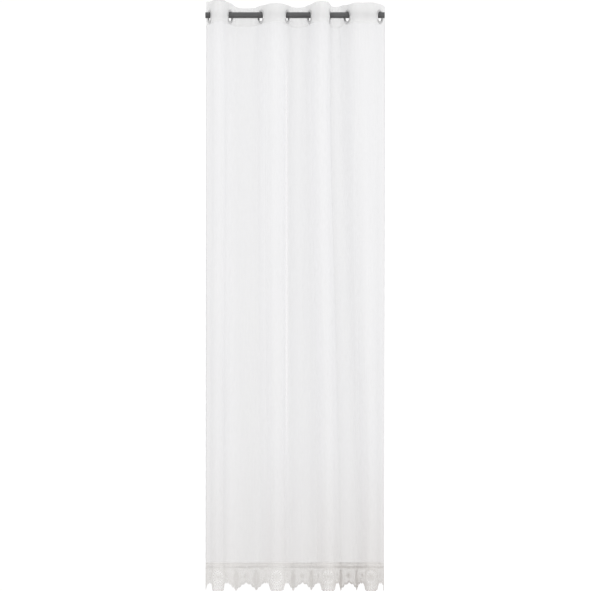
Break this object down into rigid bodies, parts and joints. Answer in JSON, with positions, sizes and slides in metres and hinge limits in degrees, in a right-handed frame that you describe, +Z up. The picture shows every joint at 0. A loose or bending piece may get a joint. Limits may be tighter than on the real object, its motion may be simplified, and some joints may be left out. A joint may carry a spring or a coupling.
{
  "type": "sheer voile curtain on a rod",
  "caption": "Sheer white voile curtain with an eyelet heading, deep soft folds and a pointed lace border, hanging on a plain round metal rod.",
  "frame": {"origin": "on the rod's axis, at the middle of the rod's length", "axes": "+Z up, +X along the rod to the right as seen from the front, -Y out of the curtain's front"},
  "size_m": [0.7507, 0.1575, 2.4596],
  "materials": {
    "rod_metal": "satin dark grey",
    "heading_cloth": "stiffened white voile, nearly opaque",
    "voile": "sheer white plain weave",
    "band_cloth": "matt woven tape",
    "lace": "matt cotton lace",
    "eyelet_metal": "satin silver"
  },
  "bodies": {
    "root": {"rod": "rod_metal", "heading": "heading_cloth", "voile_panel": "voile", "footing_band": "band_cloth", "lace_border": "lace", "eyelet_front_1": "eyelet_metal", "eyelet_front_2": "eyelet_metal", "eyelet_front_3": "eyelet_metal", "eyelet_front_4": "eyelet_metal", "eyelet_front_5": "eyelet_metal", "eyelet_front_6": "eyelet_metal", "eyelet_front_7": "eyelet_metal", "eyelet_front_8": "eyelet_metal", "eyelet_back_1": "eyelet_metal", "eyelet_back_2": "eyelet_metal", "eyelet_back_3": "eyelet_metal", "eyelet_back_4": "eyelet_metal", "eyelet_back_5": "eyelet_metal", "eyelet_back_6": "eyelet_metal", "eyelet_back_7": "eyelet_metal", "eyelet_back_8": "eyelet_metal"}
  },
  "joints": []
}
